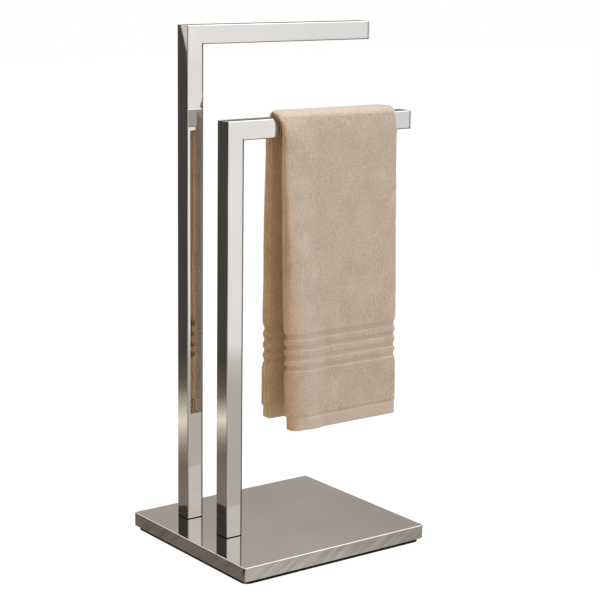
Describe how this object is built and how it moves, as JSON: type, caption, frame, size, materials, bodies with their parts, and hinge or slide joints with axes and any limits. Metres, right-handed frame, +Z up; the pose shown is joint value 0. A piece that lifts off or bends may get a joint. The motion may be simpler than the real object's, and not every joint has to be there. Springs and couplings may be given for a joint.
{
  "type": "free-standing towel stand",
  "caption": "Free-standing towel stand: stepped square-tube frames with open-ended rails on a low weighted base, with a folded towel over the lower rail.",
  "frame": {"origin": "centre of the base's underside, where it rests on the floor", "axes": "+Z up, +X along the rails towards their open ends, +Y towards the taller rear frame"},
  "size_m": [0.414, 0.322, 0.83],
  "materials": {
    "chrome_tube": "polished",
    "polished_cover": "fine satin, nearly polished",
    "zinc_fastener": "zinc plated",
    "ballast_steel": "matt black primer",
    "fibre_board": "raw fibre board",
    "black_rubber": "matt",
    "beige_terry": "cotton terry with a ribbed border"
  },
  "bodies": {
    "stand": {"base_cover": "polished_cover", "core_board": "fibre_board", "ballast_plate": "ballast_steel", "base_mat": "black_rubber", "ballast_screw_1": "zinc_fastener", "ballast_screw_2": "zinc_fastener", "ballast_screw_3": "zinc_fastener", "ballast_screw_4": "zinc_fastener", "front_upright": "chrome_tube", "front_rail": "chrome_tube", "front_corner_weld": "chrome_tube", "front_rail_cap": "chrome_tube", "front_foot_gasket": "black_rubber", "front_foot_insert": "zinc_fastener", "front_foot_bolt_1": "zinc_fastener", "front_foot_bolt_2": "zinc_fastener", "front_foot_washer_1": "zinc_fastener", "front_foot_washer_2": "zinc_fastener", "rear_upright": "chrome_tube", "rear_rail": "chrome_tube", "rear_corner_weld": "chrome_tube", "rear_rail_cap": "chrome_tube", "rear_foot_gasket": "black_rubber", "rear_foot_insert": "zinc_fastener", "rear_foot_bolt_1": "zinc_fastener", "rear_foot_bolt_2": "zinc_fastener", "rear_foot_washer_1": "zinc_fastener", "rear_foot_washer_2": "zinc_fastener"},
    "towel": {"towel": "beige_terry"}
  },
  "joints": [
    {"name": "towel_slide", "type": "slide", "parent": "stand", "child": "towel", "axis": [1, 0, 0], "range_m": [-0.06, 0.026]}
  ]
}
